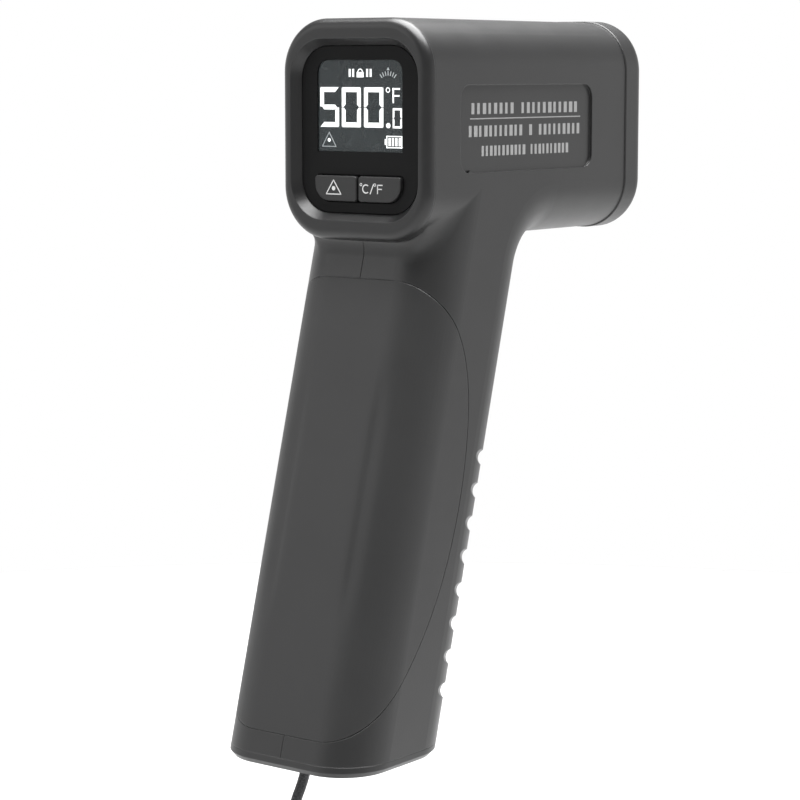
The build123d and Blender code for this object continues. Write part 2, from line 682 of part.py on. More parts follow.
# ---- wrist strap --------------------------------------------------------------------
near_y = FERRULE_Y + STRAND_Y
far_y = FERRULE_Y - STRAND_Y
route = [
    (0, HOLE_Y, KNOT_Z),
    (0, HOLE_Y, -59.2),
    (0, -31.4, -69.8),
    (0, near_y, -80.7),
    (0, near_y, -100.0),
    (0, FERRULE_Y + 11.9, -116.0),
    (0, FERRULE_Y + 11.9, -136.0),
    (0, FERRULE_Y + 5.9, -149.0),
    (0, FERRULE_Y - 5.9, -149.0),
    (0, FERRULE_Y - 11.9, -136.0),
    (0, FERRULE_Y - 11.9, -116.0),
    (0, far_y, -100.0),
    (0, far_y, -86.0),
]
points = [Vector(*p) for p in route]
bends = []
for before, here, after in zip(points, points[1:], points[2:]):
    turn = (here - before).get_angle(after - here)
    bends.append(0.45 * min((here - before).length, (after - here).length) / tan(radians(turn / 2)))
print("strap bend radii", [round(b, 1) for b in bends])

with BuildPart() as strap_cord:
    with BuildLine() as path:
        FilletPolyline(*points, radius=bends)
    run = path.wires()[0]
    with BuildSketch(Plane(origin=run @ 0, z_dir=run % 0)):
        Circle(CORD_R)
    sweep()
print("strap length", round(run.length, 1))
print("volume over section times length", round(strap_cord.part.volume / (run.length * pi * CORD_R**2), 4))
save(strap_cord.part, "strap_cord")

with BuildPart() as strap_knot:
    with BuildSketch(Plane.XY.offset(KNOT_Z)):
        with Locations((0, HOLE_Y)):
            Circle(KNOT_R)
    extrude(amount=KNOT_L)
    fillet(strap_knot.edges(), 0.9)
save(strap_knot.part, "strap_knot")

with BuildPart() as strap_ferrule:
    with BuildSketch(Plane.XY.offset(FERRULE_TOP - FERRULE_L)):
        with Locations(Location((0, FERRULE_Y), 90)):
            SlotOverall(8.0, 5.0)
        for y in (near_y, far_y):
            with Locations((0, y)):
                Circle(CORD_R + SNUG, mode=Mode.SUBTRACT)
    extrude(amount=FERRULE_L)
save(strap_ferrule.part, "strap_ferrule")
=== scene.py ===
import math
import random

import bmesh
import bpy
import numpy as np
from mathutils import Matrix, Vector


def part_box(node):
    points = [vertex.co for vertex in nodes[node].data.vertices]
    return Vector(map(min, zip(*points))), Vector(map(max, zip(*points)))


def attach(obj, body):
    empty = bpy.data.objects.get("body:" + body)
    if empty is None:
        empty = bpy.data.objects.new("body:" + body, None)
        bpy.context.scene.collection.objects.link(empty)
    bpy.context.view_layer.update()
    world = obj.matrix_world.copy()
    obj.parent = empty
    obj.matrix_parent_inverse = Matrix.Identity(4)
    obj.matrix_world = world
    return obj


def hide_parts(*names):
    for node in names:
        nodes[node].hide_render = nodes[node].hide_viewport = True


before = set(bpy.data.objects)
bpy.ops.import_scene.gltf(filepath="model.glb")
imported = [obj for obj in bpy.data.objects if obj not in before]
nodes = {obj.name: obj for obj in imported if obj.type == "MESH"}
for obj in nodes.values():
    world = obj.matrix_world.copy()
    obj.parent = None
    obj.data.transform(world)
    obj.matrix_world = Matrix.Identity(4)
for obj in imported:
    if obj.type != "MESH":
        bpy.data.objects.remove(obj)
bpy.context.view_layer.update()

MM = 0.001

# ---- driving sizes of the case, in millimetres --------------------------------------
RAKE = math.radians(15.43)         # lean of the handle
EDGE_R = 12.0                      # rounding along the barrel and along the handle
HALF_W = 21.2                      # of both, across
HALF_D = 18.4                      # of the handle, front to back
HALF_H = 25.0                      # of the barrel, up and down
BEZEL_RIM = 2.5                    # depth of the bezel's side wall
GRIP_AXIS = (0.0, math.sin(RAKE), math.cos(RAKE))       # along the handle, towards the barrel
bezel_low, bezel_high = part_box("rear_bezel")
REAR_SEAM_Y = bezel_low[1] / MM + BEZEL_RIM
AXIS_Z = (bezel_low[2] + bezel_high[2]) / 2 / MM        # the barrel's middle height

# ---- camera -------------------------------------------------------------------------
AZIMUTH = math.radians(37.36)      # the camera stands this far round towards +X
PITCH = math.radians(7.48)         # and looks down by this much
CAMERA_AT = Vector((0.3515, -0.4506, 0.0970))
SENSOR_WIDTH = 36.0
FOCAL_LENGTH = 112.5
NEAR_CLIP = 0.05

cam_data = bpy.data.cameras.new("camera")
cam_data.sensor_width = SENSOR_WIDTH
cam_data.lens = FOCAL_LENGTH
cam_data.clip_start = NEAR_CLIP
camera = bpy.data.objects.new("camera", cam_data)
bpy.context.collection.objects.link(camera)
look = Vector((-math.sin(AZIMUTH) * math.cos(PITCH), math.cos(AZIMUTH) * math.cos(PITCH), -math.sin(PITCH)))
camera.matrix_world = Matrix.Translation(CAMERA_AT) @ look.to_track_quat("-Z", "Y").to_matrix().to_4x4()
bpy.context.scene.camera = camera
bpy.context.scene.view_settings.view_transform = "Standard"


def link(obj):
    bpy.context.collection.objects.link(obj)
    return obj


def new_object(name, points, faces, smooth=True):
    """Mesh object from points in millimetres."""
    mesh = bpy.data.meshes.new(name)
    mesh.from_pydata([tuple(c * MM for c in p) for p in points], [], faces)
    mesh.update()
    if smooth:
        mesh.shade_smooth()
    return link(bpy.data.objects.new(name, mesh))


# ---- wrist strap --------------------------------------------------------------------
CORD_D = 0.0025
ROUTE = [
    (0, -24.2, -52.8), (0, -24.2, -59.2), (0, -31.4, -69.8), (0, -29.95, -80.7),
    (0, -29.95, -100.0), (0, -19.5, -116.0), (0, -19.5, -136.0), (0, -25.5, -149.0),
    (0, -37.3, -149.0), (0, -43.3, -136.0), (0, -43.3, -116.0), (0, -32.85, -100.0),
    (0, -32.85, -86.0),
]
BRAID_SIDES = 40
BRAID_STEP = 0.00022               # spacing of the rings along the cord
BRAID_CARRIERS = 8                 # yarns each way round
BRAID_PITCH = 0.0058               # length in which a yarn goes once round
BRAID_DEPTH = 0.00014
YARN_FLATNESS = 0.35               # the lower, the flatter a yarn stays along its run
SPLINE_STEPS = 24                  # points read from each span of the route


def strap_line():
    """Points along the middle of the cord, read from its NURBS spline."""
    curve = bpy.data.curves.new("strap_line", "CURVE")
    curve.dimensions = "3D"
    curve.resolution_u = SPLINE_STEPS
    spline = curve.splines.new("NURBS")
    spline.points.add(len(ROUTE) - 1)
    for point, at in zip(spline.points, ROUTE):
        point.co = (at[0] * MM, at[1] * MM, at[2] * MM, 1.0)
    spline.order_u = 3
    spline.use_endpoint_u = True
    holder = bpy.data.objects.new("strap_line", curve)
    mesh = bpy.data.meshes.new_from_object(holder)
    line = np.array([v.co[:] for v in mesh.vertices])
    bpy.data.objects.remove(holder)
    bpy.data.meshes.remove(mesh)
    return line


def even_steps(line, step):
    """The same line with evenly spaced points."""
    far = np.concatenate([[0], np.cumsum(np.linalg.norm(np.diff(line, axis=0), axis=1))])
    at = np.linspace(0, far[-1], int(far[-1] / step) + 1)
    return np.stack([np.interp(at, far, line[:, i]) for i in range(3)], axis=1), at


def braided_cord(name, line):
    """Round braid: two families of yarns that pass over and under each other."""
    rings, at = even_steps(line, BRAID_STEP)
    along = np.gradient(rings, axis=0)
    along /= np.linalg.norm(along, axis=1)[:, None]
    side = np.array([1.0, 0.0, 0.0])[None, :]
    other = np.cross(along, side)
    turn = np.linspace(0, 2 * math.pi, BRAID_SIDES, endpoint=False)
    theta = turn[None, :]
    travel = at[:, None] / BRAID_PITCH
    right = BRAID_CARRIERS * (theta / (2 * math.pi) + travel)
    left = BRAID_CARRIERS * (theta / (2 * math.pi) - travel)
    over = (np.floor(right) + np.floor(left)) % 2
    across_right, across_left = np.sin(math.pi * (right % 1.0)), np.sin(math.pi * (left % 1.0))
    yarn_right = across_right * across_left**YARN_FLATNESS
    yarn_left = across_left * across_right**YARN_FLATNESS
    height = np.where(over > 0.5, yarn_right, yarn_left)
    radius = CORD_D / 2 - BRAID_DEPTH * (1 - height)
    round_it = np.cos(theta)[..., None] * side[:, None, :] + np.sin(theta)[..., None] * other[:, None, :]
    spots = rings[:, None, :] + radius[..., None] * round_it
    count = len(rings)
    points = spots.reshape(-1, 3) / MM
    faces = []
    for i in range(count - 1):
        here, ahead = i * BRAID_SIDES, (i + 1) * BRAID_SIDES
        for j in range(BRAID_SIDES):
            k = (j + 1) % BRAID_SIDES
            faces.append((here + k, here + j, ahead + j, ahead + k))
    faces.append(tuple(range(BRAID_SIDES)))
    faces.append(tuple(reversed(range((count - 1) * BRAID_SIDES, count * BRAID_SIDES))))
    obj = new_object(name, points.tolist(), faces)
    uv = obj.data.uv_layers.new(name="braid")
    for loop in obj.data.loops:
        ring, spot = divmod(loop.vertex_index, BRAID_SIDES)
        uv.data[loop.index].uv = (turn[spot] / (2 * math.pi), at[ring] / BRAID_PITCH)
    return obj


middle = strap_line()
strap = braided_cord("strap_braid", middle)
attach(strap, "body")
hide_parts("strap_cord")


# ---- material building blocks -------------------------------------------------------
BLACK = (0, 0, 0)
WHITE = (1, 1, 1)
BEVEL_SAMPLES = 6
EDGE_FROM, EDGE_TO = 0.86, 0.995   # agreement of true and rounded normals at an edge and away from it


def new_material(name, color, roughness, metallic=0.0, **sockets):
    mat = bpy.data.materials.new(name)
    mat.use_nodes = True
    shader = mat.node_tree.nodes["Principled BSDF"]
    shader.inputs["Base Color"].default_value = (*color, 1.0)
    shader.inputs["Roughness"].default_value = roughness
    shader.inputs["Metallic"].default_value = metallic
    for key, value in sockets.items():
        shader.inputs[key.replace("_", " ")].default_value = value
    return mat, mat.node_tree, shader


def object_coords(tree, stretch=(1, 1, 1)):
    coords = tree.nodes.new("ShaderNodeTexCoord")
    mapping = tree.nodes.new("ShaderNodeMapping")
    mapping.inputs["Scale"].default_value = stretch
    tree.links.new(coords.outputs["Object"], mapping.inputs["Vector"])
    return mapping.outputs["Vector"]


def noise(tree, scale, detail=2.0, roughness=0.5, stretch=(1, 1, 1)):
    tex = tree.nodes.new("ShaderNodeTexNoise")
    tex.inputs["Scale"].default_value = scale
    tex.inputs["Detail"].default_value = detail
    tex.inputs["Roughness"].default_value = roughness
    tree.links.new(object_coords(tree, stretch), tex.inputs["Vector"])
    return tex.outputs["Fac"]


def ramp(tree, value, low, high, color_low, color_high):
    node = tree.nodes.new("ShaderNodeValToRGB")
    node.color_ramp.elements[0].position = low
    node.color_ramp.elements[1].position = high
    node.color_ramp.elements[0].color = (*color_low, 1.0)
    node.color_ramp.elements[1].color = (*color_high, 1.0)
    tree.links.new(value, node.inputs["Fac"])
    return node.outputs["Color"]


def spread(tree, value, low, high, start=0.0, stop=1.0):
    node = tree.nodes.new("ShaderNodeMapRange")
    node.inputs["From Min"].default_value = start
    node.inputs["From Max"].default_value = stop
    node.inputs["To Min"].default_value = low
    node.inputs["To Max"].default_value = high
    tree.links.new(value, node.inputs["Value"])
    return node.outputs["Result"]


def blend_color(tree, mask, color_a, color_b):
    """color_a where the mask is 0 and color_b where it is 1; either may be a socket."""
    node = tree.nodes.new("ShaderNodeMix")
    node.data_type = "RGBA"
    tree.links.new(mask, node.inputs[0])
    for socket, color in ((node.inputs[6], color_a), (node.inputs[7], color_b)):
        if isinstance(color, tuple):
            socket.default_value = (*color, 1.0)
        else:
            tree.links.new(color, socket)
    return node.outputs[2]


def bump(tree, value, strength, distance, base=None):
    node = tree.nodes.new("ShaderNodeBump")
    node.inputs["Strength"].default_value = strength
    node.inputs["Distance"].default_value = distance
    tree.links.new(value, node.inputs["Height"])
    if base is not None:
        tree.links.new(base, node.inputs["Normal"])
    return node.outputs["Normal"]


def rounded(tree, radius):
    """Normals that round the edges, and a mask of where the edges are."""
    soft = tree.nodes.new("ShaderNodeBevel")
    soft.samples = BEVEL_SAMPLES
    soft.inputs["Radius"].default_value = radius
    true = tree.nodes.new("ShaderNodeNewGeometry")
    dot = tree.nodes.new("ShaderNodeVectorMath")
    dot.operation = "DOT_PRODUCT"
    tree.links.new(soft.outputs["Normal"], dot.inputs[0])
    tree.links.new(true.outputs["Normal"], dot.inputs[1])
    return soft.outputs["Normal"], spread(tree, dot.outputs["Value"], 1.0, 0.0, EDGE_FROM, EDGE_TO)


def shade(color, by):
    return tuple(min(1.0, c * by) for c in color)


def moulded(name, color, roughness, grain=0.12, scale=2600.0, edge=0.00035, wear_and_highlight=1.5, **sockets):
    """Moulded plastic: spark-eroded grain, cloudy colour and gloss, edges painted lighter, partly as wear
    from handling and partly as a painted highlight.
    """
    mat, tree, shader = new_material(name, color, roughness, **sockets)
    cloud = noise(tree, scale=45.0, detail=3.0)
    plain = ramp(tree, cloud, low=0.3, high=0.7, color_low=shade(color, 0.93), color_high=shade(color, 1.07))
    normal, edges = rounded(tree, edge)
    # edges painted lighter: partly wear from handling, partly a painted highlight along every edge
    rubbed_and_highlit = blend_color(tree, edges, plain, shade(color, wear_and_highlight))
    tree.links.new(rubbed_and_highlit, shader.inputs["Base Color"])
    handled = noise(tree, scale=120.0, detail=4.0, roughness=0.6)
    tree.links.new(spread(tree, handled, roughness - 0.05, roughness + 0.05), shader.inputs["Roughness"])
    fine = noise(tree, scale, detail=2.0, roughness=0.6)
    tree.links.new(bump(tree, fine, grain, distance=0.0001, base=normal), shader.inputs["Normal"])
    return mat


def metal(name, color, roughness, stretch=(1, 1, 1), scale=900.0, grain=0.15):
    """Plated or turned metal: fine tool marks and dull spots."""
    mat, tree, shader = new_material(name, color, roughness, metallic=1.0)
    marks = noise(tree, scale, detail=3.0, roughness=0.6, stretch=stretch)
    dull = noise(tree, scale=160.0, detail=4.0, roughness=0.6)
    tone = ramp(tree, dull, low=0.35, high=0.75, color_low=color, color_high=shade(color, 0.72))
    normal, edges = rounded(tree, radius=0.0001)
    # edges painted lighter: partly wear, partly a painted highlight along every edge
    tree.links.new(blend_color(tree, edges, tone, shade(color, 1.25)), shader.inputs["Base Color"])
    tree.links.new(spread(tree, dull, roughness - 0.08, roughness + 0.14), shader.inputs["Roughness"])
    tree.links.new(bump(tree, marks, grain, distance=0.00006, base=normal), shader.inputs["Normal"])
    return mat


def circuit_board(name):
    """Green solder mask over copper tracks, with tinned pads."""
    green, track_green, tin = (0.010, 0.085, 0.030), (0.018, 0.15, 0.055), (0.62, 0.60, 0.54)
    mat, tree, shader = new_material(name, green, roughness=0.35)
    cells = tree.nodes.new("ShaderNodeTexVoronoi")
    cells.feature = "DISTANCE_TO_EDGE"
    cells.inputs["Scale"].default_value = 420.0
    tree.links.new(object_coords(tree), cells.inputs["Vector"])
    tracks = ramp(tree, cells.outputs["Distance"], low=0.04, high=0.07, color_low=WHITE, color_high=BLACK)
    with_tracks = blend_color(tree, tracks, green, track_green)
    pads = tree.nodes.new("ShaderNodeTexVoronoi")
    pads.inputs["Scale"].default_value = 330.0
    tree.links.new(object_coords(tree), pads.inputs["Vector"])
    pad_mask = ramp(tree, pads.outputs["Distance"], low=0.16, high=0.18, color_low=WHITE, color_high=BLACK)
    tree.links.new(blend_color(tree, pad_mask, with_tracks, tin), shader.inputs["Base Color"])
    tree.links.new(bump(tree, tracks, strength=0.3, distance=0.00004), shader.inputs["Normal"])
    tree.links.new(spread(tree, noise(tree, scale=200.0), low=0.3, high=0.42), shader.inputs["Roughness"])
    return mat


CELL_LOW, CELL_HIGH = -0.0500, -0.0012     # ends of the cells along the handle, from the origin


def battery_sleeve(name, dark_end):
    """Printed steel can in three plain bands, which run one way up or the other."""
    mat, tree, shader = new_material(name, (0.30, 0.32, 0.35), roughness=0.32, metallic=0.6)
    coords = tree.nodes.new("ShaderNodeTexCoord")
    dot = tree.nodes.new("ShaderNodeVectorMath")
    dot.operation = "DOT_PRODUCT"
    dot.inputs[1].default_value = GRIP_AXIS
    tree.links.new(coords.outputs["Object"], dot.inputs[0])
    place = spread(tree, dot.outputs["Value"], 0.0, 1.0, CELL_LOW, CELL_HIGH)
    bands = tree.nodes.new("ShaderNodeValToRGB")
    bands.color_ramp.interpolation = "CONSTANT"
    silver, dark, copper = (0.42, 0.44, 0.47, 1), (0.02, 0.02, 0.024, 1), (0.34, 0.17, 0.07, 1)
    stops = bands.color_ramp.elements
    stops[0].color = copper if dark_end == "high" else silver
    stops[1].position = 0.32
    stops[1].color = silver if dark_end == "high" else dark
    extra = stops.new(0.36 if dark_end == "high" else 0.70)
    extra.color = dark if dark_end == "high" else copper
    tree.links.new(place, bands.inputs["Fac"])
    scuffs = noise(tree, scale=500.0, detail=4.0, roughness=0.7)
    wear_and_highlight = (0.5, 0.5, 0.5)
    scuff_mask = ramp(tree, scuffs, low=0.62, high=0.72, color_low=BLACK, color_high=wear_and_highlight)
    tree.links.new(blend_color(tree, scuff_mask, bands.outputs["Color"], wear_and_highlight), shader.inputs["Base Color"])
    tree.links.new(spread(tree, scuffs, low=0.24, high=0.45), shader.inputs["Roughness"])
    tree.links.new(bump(tree, scuffs, strength=0.1, distance=0.00005), shader.inputs["Normal"])
    return mat


def braid_yarn(name):
    """Polyester yarn: dark and lighter yarns, fibres along each."""
    dark, light = (0.014, 0.014, 0.015), (0.085, 0.085, 0.088)
    mat, tree, shader = new_material(name, (0.03, 0.03, 0.03), roughness=0.75, Sheen_Weight=0.3)
    coords = tree.nodes.new("ShaderNodeTexCoord")
    mapping = tree.nodes.new("ShaderNodeMapping")
    mapping.inputs["Scale"].default_value = (16.0, 8.0, 1.0)
    tree.links.new(coords.outputs["UV"], mapping.inputs["Vector"])
    flecks = tree.nodes.new("ShaderNodeTexNoise")
    flecks.inputs["Scale"].default_value = 1.6
    flecks.inputs["Detail"].default_value = 3.0
    tree.links.new(mapping.outputs["Vector"], flecks.inputs["Vector"])
    yarns = ramp(tree, flecks.outputs["Fac"], low=0.38, high=0.62, color_low=dark, color_high=light)
    tree.links.new(yarns, shader.inputs["Base Color"])
    fibres = noise(tree, scale=9000.0, detail=2.0, roughness=0.7)
    tree.links.new(bump(tree, fibres, strength=0.5, distance=0.00008), shader.inputs["Normal"])
    tree.links.new(spread(tree, fibres, low=0.62, high=0.88), shader.inputs["Roughness"])
    return mat


def lit_slate(name):
    """Negative display glass: dark slate with a faint cell pattern and a weak backlight."""
    color = (0.022, 0.029, 0.031)
    mat, tree, shader = new_material(name, color, roughness=0.25, Emission_Strength=0.2)
    cells = tree.nodes.new("ShaderNodeTexNoise")
    cells.inputs["Scale"].default_value = 3200.0
    tree.links.new(object_coords(tree), cells.inputs["Vector"])
    faint, strong = shade(color, 0.86), shade(color, 1.14)
    tone = ramp(tree, cells.outputs["Fac"], low=0.3, high=0.7, color_low=faint, color_high=strong)
    tree.links.new(tone, shader.inputs["Base Color"])
    tree.links.new(tone, shader.inputs["Emission Color"])
    tree.links.new(spread(tree, noise(tree, scale=300.0), low=0.2, high=0.32), shader.inputs["Roughness"])
    return mat


def lit_ink(name, color, strength):
    """Shapes that glow, and printed shapes, which get a faint painted glow as well: slightly uneven, soft at
    their scale.
    """
    mat, tree, shader = new_material(name, color, roughness=0.5, Emission_Strength=strength)
    uneven = noise(tree, scale=900.0, detail=2.0)
    tone = ramp(tree, uneven, low=0.3, high=0.7, color_low=shade(color, 0.92), color_high=color)
    tree.links.new(tone, shader.inputs["Base Color"])
    tree.links.new(tone, shader.inputs["Emission Color"])
    tree.links.new(spread(tree, uneven, low=0.42, high=0.58), shader.inputs["Roughness"])
    return mat


def clear_pane(name, color, alpha, roughness=0.08):
    """Window or lens as clear as alpha is low: glossy, with faint smears in tint and gloss."""
    mat, tree, shader = new_material(name, color, roughness, Alpha=alpha)
    smears = noise(tree, scale=90.0, detail=5.0, roughness=0.65, stretch=(1, 1, 0.35))
    tint = ramp(tree, smears, low=0.3, high=0.8, color_low=color, color_high=shade(color, 1.3))
    tree.links.new(tint, shader.inputs["Base Color"])
    tree.links.new(spread(tree, smears, roughness, roughness + 0.1), shader.inputs["Roughness"])
    return mat


BODY = (0.015, 0.015, 0.0152)
looks = {
    "body": moulded("body_black", BODY, 0.38),
    "door": moulded("door_black", shade(BODY, 1.1), 0.48),
    "bezel": moulded("bezel_black", (0.010, 0.010, 0.0103), 0.36, grain=0.05, wear_and_highlight=1.8),
    "panel": moulded(
        "panel_black", (0.005, 0.005, 0.0052), 0.5, grain=0.04, edge=0.00015, Specular_IOR_Level=0.12
    ),
    "key": moulded(
        "key_rubber", (0.012, 0.012, 0.0123), 0.55, grain=0.2, scale=3400.0, edge=0.0003, wear_and_highlight=1.9
    ),
    "inner": moulded("inner_black", (0.018, 0.018, 0.019), 0.55, grain=0.1),
    "trigger": moulded("trigger_black", (0.020, 0.020, 0.0205), 0.40, grain=0.08),
    "component": moulded(
        "component_black", (0.012, 0.012, 0.012), 0.5, grain=0.2, scale=3800.0, edge=0.0001
    ),
    "ferrule": moulded("ferrule_black", (0.016, 0.016, 0.016), 0.38, edge=0.0002),
    "board": circuit_board("solder_mask"),
    "steel": metal("zinc_steel", (0.55, 0.56, 0.58), 0.32),
    "nickel": metal("nickel_plate", (0.62, 0.60, 0.55), 0.26, scale=600.0),
    "brass": metal("turned_brass", (0.66, 0.46, 0.17), 0.28, stretch=(1, 14, 1)),
    "yarn": braid_yarn("braid_yarn"),
    "slate": lit_slate("display_slate"),
    "digits": lit_ink("display_white", (0.95, 0.97, 0.97), 0.85),
    "dim": lit_ink("display_grey", (0.42, 0.45, 0.46), 0.5),
    # printed marks on the keys and the label: their own grey with a faint painted glow on top
    "print": lit_ink("key_print", (0.62, 0.62, 0.62), 0.12),
    "label": lit_ink("label_print", (0.27, 0.27, 0.27), 0.03),
    "pane": clear_pane("smoked_pane", (0.02, 0.024, 0.026), 0.10),
    "lens": clear_pane("infrared_lens", (0.030, 0.026, 0.024), 0.94, 0.12),
    "laser_glass": clear_pane("laser_glass", (0.5, 0.52, 0.55), 0.35, 0.05),
    "cell_low": battery_sleeve("cell_sleeve_a", "low"),
    "cell_high": battery_sleeve("cell_sleeve_b", "high"),
}
finish = {
    "body": ("left_housing", "right_housing", "nose_ring", "bottom_cap"),
    "door": ("battery_door",),
    "bezel": ("rear_bezel",),
    "panel": ("face_panel",),
    "key": ("laser_button", "unit_button"),
    "inner": ("lcd_frame", "lens_tube", "battery_tray"),
    "trigger": ("trigger",),
    "component": ("button_switches", "controller_chip", "buzzer", "trigger_switch", "strap_knot"),
    "ferrule": ("strap_ferrule",),
    "board": ("main_board", "sensor_board", "trigger_board"),
    "steel": ("housing_screws", "trigger_pin", "trigger_spring", "battery_springs"),
    "nickel": ("thermopile", "contact_plates"),
    "brass": ("laser_module",),
    "slate": ("lcd_module",),
    "pane": ("display_window",),
    "lens": ("ir_lens",),
    "laser_glass": ("laser_lens",),
    "cell_low": ("battery_up",),
    "cell_high": ("battery_down",),
}


def paint(obj, mat):
    if not obj.material_slots:
        obj.data.materials.append(mat)
    for holder in obj.material_slots:
        holder.material = mat


for look_name, names in finish.items():
    for name in names:
        paint(nodes[name], looks[look_name])
paint(strap, looks["yarn"])


# ---- housing skins: the neck's soft valley and the creases in the door --------------
def handle_coords(p):
    """Across, front-to-back and along the handle's own axis."""
    y, z = p[..., 1], p[..., 2]
    return p[..., 0], y * math.cos(RAKE) - z * math.sin(RAKE), y * math.sin(RAKE) + z * math.cos(RAKE)


def rounded_bar(u, v, half_u, half_v, radius):
    """Signed distance from a rounded rectangle."""
    du, dv = np.abs(u) - half_u + radius, np.abs(v) - half_v + radius
    outside = np.hypot(np.maximum(du, 0), np.maximum(dv, 0))
    return outside + np.minimum(np.maximum(du, dv), 0) - radius


NECK_BLEND = 6.0                   # width of the soft join between handle and barrel
SEAM_FADE = 2.2                    # it grows to its full width over this length from the bezel's seam
SEAM_HALF = 0.11                   # half of the line between the two mouldings
FLAT_ROWS = 12                     # rows of the fairing from the mould seam to the corner
CORNER_ROWS = 32                   # rows round the corner
CORNER_SWEEP = math.radians(86.0)  # how far round the corner they go
FAIRING_COLS = 23                  # points in a row, from the barrel's side to the handle's
FAIRING_REACH = 6.0                # length of a row on either side of the valley
FAIRING_T = 0.6
SEARCH_OUT, SEARCH_IN = 7.0, 3.0   # where the search for the soft surface starts
HALVINGS = 24
SETTLE_TURNS = 12
SEAM_CLEAR = 0.01                  # room between the fairing and the bezel
RIM_SINK = 0.015                   # the fairing's rim lies this far under the housing
RIM_FADE = 0.06                    # and the skin as far over it once it bulges this much
TINY = 1e-6


def smooth_step(x):
    x = np.clip(x, 0, 1)
    return x * x * (3 - 2 * x)


def barrel_distance(p):
    return rounded_bar(p[..., 0], p[..., 2] - AXIS_Z, HALF_W, HALF_H, EDGE_R)


def handle_distance(p):
    x, depth, _ = handle_coords(p)
    return rounded_bar(x, depth, HALF_W, HALF_D, EDGE_R)


def neck_distance(p):
    """Signed distance from barrel and handle joined softly, but not where they run side by side."""
    barrel, handle = barrel_distance(p), handle_distance(p)
    facing = (slope_of(barrel_distance, p) * slope_of(handle_distance, p)).sum(-1)
    from_seam = smooth_step((p[..., 1] - REAR_SEAM_Y) / SEAM_FADE)
    soft = NECK_BLEND * smooth_step(1.0 - facing) * from_seam + TINY
    near = np.maximum(soft - np.abs(barrel - handle), 0) / soft
    return np.minimum(barrel, handle) - near * near * soft / 4


def slope_of(field, p, step=0.01):
    steps = np.eye(3) * step
    grad = np.stack([field(p + along) - field(p - along) for along in steps], axis=-1)
    return grad / np.maximum(np.linalg.norm(grad, axis=-1, keepdims=True), 1e-9)


def unit_rows(rows):
    return rows / np.linalg.norm(rows, axis=1, keepdims=True)


def valley_line():
    """Points where barrel and handle meet, from the mould seam round the corner, and the way out."""
    corner = HALF_W - EDGE_R
    flat = [SEAM_HALF + (corner - SEAM_HALF) * i / FLAT_ROWS for i in range(FLAT_ROWS)]
    turned = [corner + EDGE_R * math.sin(CORNER_SWEEP * i / CORNER_ROWS) for i in range(CORNER_ROWS + 1)]
    xs = np.array(flat + turned)
    drop = EDGE_R - np.sqrt(EDGE_R**2 - np.maximum(xs - corner, 0) ** 2)
    z = AXIS_Z - HALF_H + drop
    y = math.tan(RAKE) * z - (HALF_D - drop) / math.cos(RAKE)
    # away from both bodies: their outward normals added
    angle = np.arcsin(np.clip((xs - corner) / EDGE_R, 0, 1))
    across, down = np.sin(angle), np.cos(angle)
    out_barrel = np.stack([across, 0 * xs, -down], axis=-1)
    out_handle = np.stack([across, -down * math.cos(RAKE), down * math.sin(RAKE)], axis=-1)
    return np.stack([xs, y, z], axis=-1), unit_rows(out_barrel + out_handle)


def ahead_of_bezel(points):
    points[:, 1] = np.maximum(points[:, 1], REAR_SEAM_Y + SEAM_CLEAR)
    return points


def soft_skin(valley, out):
    """Rows of points on the soft surface, across the valley from the barrel's side."""
    over = np.cross(out, unit_rows(np.gradient(valley, axis=0)))
    over *= np.sign(-over[:, 2:3])                 # towards the handle's side
    room = (valley[:, 1] - REAR_SEAM_Y - 2 * SEAM_CLEAR) / np.maximum(TINY, np.abs(over[:, 1]))
    span = np.linspace(0, 1, FAIRING_COLS)[None, :]
    travel = -np.minimum(FAIRING_REACH, room)[:, None] * (1 - span) + FAIRING_REACH * span
    origin = (valley[:, None, :] + over[:, None, :] * travel[..., None]).reshape(-1, 3)
    toward = np.repeat(out, FAIRING_COLS, axis=0)
    # close in on the surface along the way out
    clear, sunk = origin + toward * SEARCH_OUT, origin - toward * SEARCH_IN
    for _ in range(HALVINGS):
        halfway = (clear + sunk) / 2
        free = (neck_distance(halfway) > 0)[:, None]
        clear, sunk = np.where(free, halfway, clear), np.where(free, sunk, halfway)
    skin = (clear + sunk) / 2
    # settle it on the surface, and keep it ahead of the bezel
    for _ in range(SETTLE_TURNS):
        skin = ahead_of_bezel(skin)
        skin = skin - slope_of(neck_distance, skin) * neck_distance(skin)[:, None]
    return ahead_of_bezel(skin)


def sheet_faces(count, cols):
    """Faces of a grid, of its copy underneath and of the rim that joins the two."""
    total = count * cols
    faces = []
    for i in range(count - 1):
        for j in range(cols - 1):
            a, b, c, d = i * cols + j, (i + 1) * cols + j, (i + 1) * cols + j + 1, i * cols + j + 1
            faces += [(a, b, c, d), (total + d, total + c, total + b, total + a)]
    edge = [i * cols for i in range(count)] + [(count - 1) * cols + j for j in range(1, cols)]
    edge += [i * cols + cols - 1 for i in range(count - 2, -1, -1)] + [j for j in range(cols - 2, 0, -1)]
    return faces + [(b, a, total + a, total + b) for a, b in zip(edge, edge[1:] + edge[:1])]


